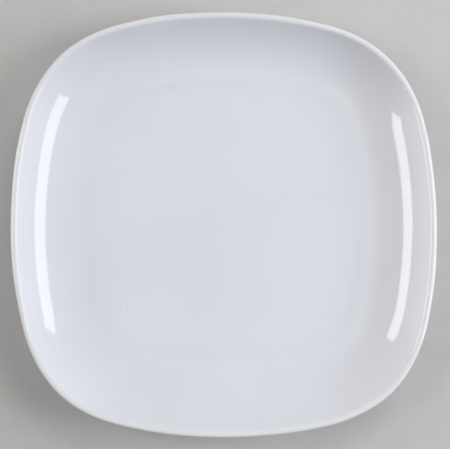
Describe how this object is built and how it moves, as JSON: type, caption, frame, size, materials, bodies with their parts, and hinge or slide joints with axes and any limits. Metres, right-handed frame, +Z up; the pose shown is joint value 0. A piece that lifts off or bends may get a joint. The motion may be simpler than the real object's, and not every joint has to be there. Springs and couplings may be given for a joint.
{
  "type": "square dinner plate",
  "caption": "Square coupe dinner plate with bowed sides, rounded corners, an upswept wall, a rounded lip and a foot ring that follows the outline.",
  "frame": {"origin": "centre of the plane that the foot ring stands on", "axes": "+Z up, out of the well; +X to the picture's right side and +Y to its top side, each square to a bowed side"},
  "size_m": [0.26, 0.26, 0.0272],
  "materials": {
    "bare_porcelain": "unglazed fired porcelain, matte, bare only where the foot ring is wiped clean",
    "glaze": "clear gloss glaze over cool white porcelain"
  },
  "bodies": {
    "root": {"porcelain_body": "bare_porcelain", "glaze_coat": "glaze", "underside_glaze": "glaze"}
  },
  "joints": []
}
